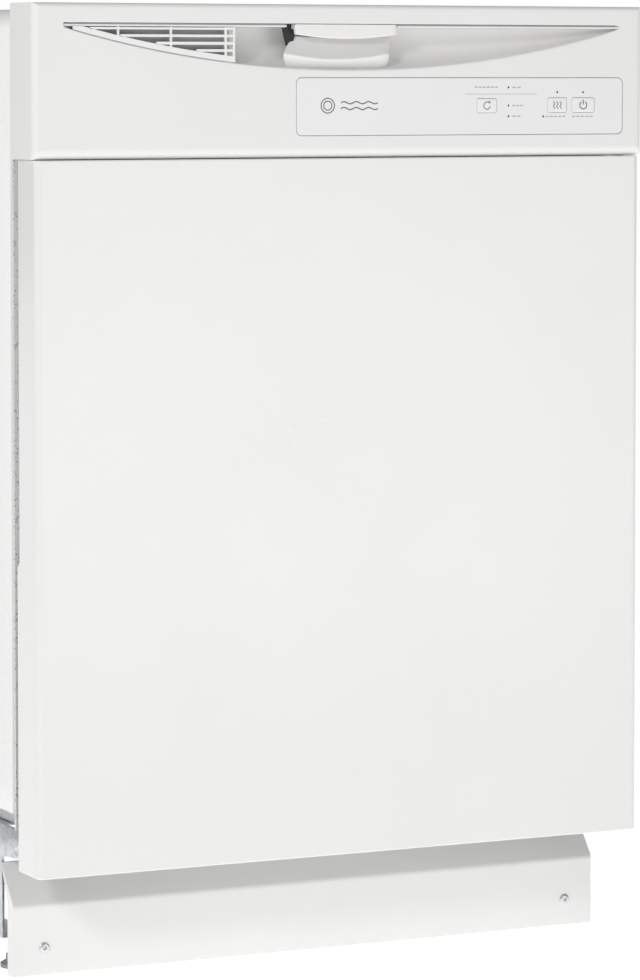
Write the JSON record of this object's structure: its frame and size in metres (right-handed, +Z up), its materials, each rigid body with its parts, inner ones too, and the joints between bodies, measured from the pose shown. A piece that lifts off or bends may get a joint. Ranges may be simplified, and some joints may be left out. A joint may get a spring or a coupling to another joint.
{
  "type": "built-in dishwasher",
  "caption": "Tall-tub built-in dishwasher: white drop-down door with crescent handle pocket and button console, toe kick, tub, two pull-out racks and spray arms.",
  "frame": {"origin": "on the floor under the middle of the machine's box", "axes": "+Z up, -Y out of the door's front, +X to the right as seen from the front"},
  "size_m": [0.606, 0.635, 0.87],
  "materials": {
    "white_paint": "satin",
    "white_plastic": "satin",
    "grey_plastic": "satin",
    "dark_plastic": "satin",
    "liner_plastic": "satin",
    "galvanised_steel": "satin",
    "stainless_steel": "satin",
    "spring_steel": "satin",
    "rubber": "matte",
    "white_fibre": "matte",
    "nylon_coating": "satin",
    "circuit_board": "satin"
  },
  "bodies": {
    "cabinet": {"tub": "liner_plastic", "insulation_blanket": "white_fibre", "side_rail_left": "galvanised_steel", "side_rail_right": "galvanised_steel", "front_cross_brace": "galvanised_steel", "rear_cross_rail": "galvanised_steel", "toe_kick_panel": "white_paint", "toe_screw_left": "stainless_steel", "toe_screw_right": "stainless_steel", "tub_gasket": "rubber", "strike_plate": "stainless_steel", "counter_bracket_left": "galvanised_steel", "counter_bracket_right": "galvanised_steel", "door_spring_left": "spring_steel", "door_spring_right": "spring_steel", "sump_housing": "dark_plastic", "wash_motor": "galvanised_steel", "drain_pump": "grey_plastic", "heating_element": "spring_steel", "fill_pipe": "dark_plastic", "water_inlet_valve": "grey_plastic", "junction_box": "galvanised_steel", "water_supply_tube": "grey_plastic"},
    "door": {"door_outer_panel": "white_paint", "door_inner_panel": "liner_plastic", "dispenser_housing": "grey_plastic", "console_housing": "white_plastic", "control_overlay": "white_plastic", "control_board": "circuit_board", "vent_grille": "white_plastic", "hinge_arm_left": "galvanised_steel", "hinge_arm_right": "galvanised_steel"},
    "latch_lever": {"latch_lever": "white_plastic"},
    "latch_hook": {"latch_hook": "galvanised_steel"},
    "button_cycles": {"button_cycles": "white_plastic"},
    "button_heat_dry": {"button_heat_dry": "white_plastic"},
    "button_start": {"button_start": "white_plastic"},
    "dispenser_lid": {"dispenser_lid": "grey_plastic"},
    "rinse_aid_cap": {"rinse_aid_cap": "grey_plastic"},
    "rack_wheel_front_left": {"rack_wheel_front_left": "grey_plastic"},
    "rack_wheel_front_right": {"rack_wheel_front_right": "grey_plastic"},
    "rack_wheel_rear_left": {"rack_wheel_rear_left": "grey_plastic"},
    "rack_wheel_rear_right": {"rack_wheel_rear_right": "grey_plastic"},
    "lower_spray_arm": {"lower_spray_arm": "grey_plastic"},
    "upper_spray_arm": {"upper_spray_arm": "grey_plastic"},
    "float_cap": {"float_cap": "grey_plastic"},
    "sump_filter": {"sump_filter": "grey_plastic"},
    "balance_link_left": {"balance_link_left": "galvanised_steel"},
    "balance_link_right": {"balance_link_right": "galvanised_steel"},
    "levelling_leg_front_left": {"levelling_leg_front_left": "grey_plastic"},
    "levelling_leg_front_right": {"levelling_leg_front_right": "grey_plastic"},
    "levelling_leg_rear_left": {"levelling_leg_rear_left": "grey_plastic"},
    "levelling_leg_rear_right": {"levelling_leg_rear_right": "grey_plastic"},
    "upper_rails": {"upper_rail_left": "stainless_steel", "upper_rail_right": "stainless_steel"},
    "upper_rack": {"upper_rack": "nylon_coating", "upper_arm_manifold": "grey_plastic"},
    "lower_rack": {"lower_rack": "nylon_coating", "silverware_basket": "grey_plastic"}
  },
  "joints": [
    {"name": "door_hinge", "type": "hinge", "parent": "cabinet", "child": "door", "pos_m": [0, -0.2725, 0.1215], "axis": [1, 0, 0], "range_deg": [0, 90], "stiffness_Nm_per_rad": 15, "springref_deg": -17.19},
    {"name": "latch_lever_pivot", "type": "hinge", "parent": "door", "child": "latch_lever", "pos_m": [0, -0.313, 0.85], "axis": [-1, 0, 0], "range_deg": [0, 15], "stiffness_Nm_per_rad": 0.6, "springref_deg": -5.73},
    {"name": "latch_hook_pivot", "type": "hinge", "parent": "door", "child": "latch_hook", "pos_m": [0, -0.268, 0.8445], "axis": [-1, 0, 0], "range_deg": [0, 8]},
    {"name": "button_cycles_press", "type": "slide", "parent": "door", "child": "button_cycles", "axis": [0, 1, 0], "range_m": [0, 0.0008], "stiffness_N_per_m": 1500, "springref_m": -0.0004},
    {"name": "button_heat_dry_press", "type": "slide", "parent": "door", "child": "button_heat_dry", "axis": [0, 1, 0], "range_m": [0, 0.0008], "stiffness_N_per_m": 1500, "springref_m": -0.0004},
    {"name": "button_start_press", "type": "slide", "parent": "door", "child": "button_start", "axis": [0, 1, 0], "range_m": [0, 0.0008], "stiffness_N_per_m": 1500, "springref_m": -0.0004},
    {"name": "dispenser_lid_hinge", "type": "hinge", "parent": "door", "child": "dispenser_lid", "pos_m": [-0.078, -0.2529, 0.441], "axis": [0, 0, 1], "range_deg": [0, 95]},
    {"name": "rinse_aid_cap_turn", "type": "hinge", "parent": "door", "child": "rinse_aid_cap", "pos_m": [0.045, -0.2542, 0.445], "axis": [0, 1, 0], "range_deg": [0, 90]},
    {"name": "upper_rails_slide", "type": "slide", "parent": "cabinet", "child": "upper_rails", "axis": [0, -1, 0], "range_m": [0, 0.226]},
    {"name": "upper_rack_slide", "type": "slide", "parent": "upper_rails", "child": "upper_rack", "axis": [0, -1, 0], "range_m": [0, 0.226]},
    {"name": "lower_rack_slide", "type": "slide", "parent": "cabinet", "child": "lower_rack", "axis": [0, -1, 0], "range_m": [0, 0.205]},
    {"name": "rack_wheel_front_left_roll", "type": "hinge", "parent": "lower_rack", "child": "rack_wheel_front_left", "pos_m": [-0.2495, -0.0975, 0.1638], "axis": [1, 0, 0], "range_deg": [0, 655]},
    {"name": "rack_wheel_front_right_roll", "type": "hinge", "parent": "lower_rack", "child": "rack_wheel_front_right", "pos_m": [0.2495, -0.0975, 0.1638], "axis": [1, 0, 0], "range_deg": [0, 655]},
    {"name": "rack_wheel_rear_left_roll", "type": "hinge", "parent": "lower_rack", "child": "rack_wheel_rear_left", "pos_m": [-0.2495, 0.2, 0.1638], "axis": [1, 0, 0], "range_deg": [0, 655]},
    {"name": "rack_wheel_rear_right_roll", "type": "hinge", "parent": "lower_rack", "child": "rack_wheel_rear_right", "pos_m": [0.2495, 0.2, 0.1638], "axis": [1, 0, 0], "range_deg": [0, 655]},
    {"name": "balance_link_left_pull", "type": "slide", "parent": "cabinet", "child": "balance_link_left", "axis": [0, -1, 0], "range_m": [0, 0.072], "deforming": ["door_spring_left"]},
    {"name": "balance_link_right_pull", "type": "slide", "parent": "cabinet", "child": "balance_link_right", "axis": [0, -1, 0], "range_m": [0, 0.072], "deforming": ["door_spring_right"]},
    {"name": "lower_spray_arm_spin", "type": "hinge", "parent": "cabinet", "child": "lower_spray_arm", "pos_m": [0, 0, 0.1503], "axis": [0, 0, 1], "continuous": true},
    {"name": "upper_spray_arm_spin", "type": "hinge", "parent": "upper_rack", "child": "upper_spray_arm", "pos_m": [0, 0, 0.4715], "axis": [0, 0, 1], "continuous": true},
    {"name": "float_cap_lift", "type": "slide", "parent": "cabinet", "child": "float_cap", "axis": [0, 0, 1], "range_m": [0, 0.01]},
    {"name": "sump_filter_twist", "type": "hinge", "parent": "cabinet", "child": "sump_filter", "pos_m": [0, -0.048, 0.1405], "axis": [0, 0, 1], "range_deg": [0, 60]},
    {"name": "levelling_leg_front_left_height", "type": "slide", "parent": "cabinet", "child": "levelling_leg_front_left", "axis": [0, 0, -1], "range_m": [0, 0.019]},
    {"name": "levelling_leg_front_right_height", "type": "slide", "parent": "cabinet", "child": "levelling_leg_front_right", "axis": [0, 0, -1], "range_m": [0, 0.019]},
    {"name": "levelling_leg_rear_left_height", "type": "slide", "parent": "cabinet", "child": "levelling_leg_rear_left", "axis": [0, 0, -1], "range_m": [0, 0.019]},
    {"name": "levelling_leg_rear_right_height", "type": "slide", "parent": "cabinet", "child": "levelling_leg_rear_right", "axis": [0, 0, -1], "range_m": [0, 0.019]}
  ],
  "couplings": [
    {"joint": "latch_hook_pivot", "follows": "latch_lever_pivot", "ratio": 0.5},
    {"joint": "upper_rails_slide", "follows": "door_hinge", "m_per_rad": 0.143},
    {"joint": "upper_rack_slide", "follows": "door_hinge", "m_per_rad": 0.143},
    {"joint": "lower_rack_slide", "follows": "door_hinge", "m_per_rad": 0.13},
    {"joint": "rack_wheel_front_left_roll", "follows": "door_hinge", "ratio": 7.222},
    {"joint": "rack_wheel_front_right_roll", "follows": "door_hinge", "ratio": 7.222},
    {"joint": "rack_wheel_rear_left_roll", "follows": "door_hinge", "ratio": 7.222},
    {"joint": "rack_wheel_rear_right_roll", "follows": "door_hinge", "ratio": 7.222},
    {"joint": "balance_link_left_pull", "follows": "door_hinge", "m_per_rad": 0.045},
    {"joint": "balance_link_right_pull", "follows": "door_hinge", "m_per_rad": 0.045}
  ]
}
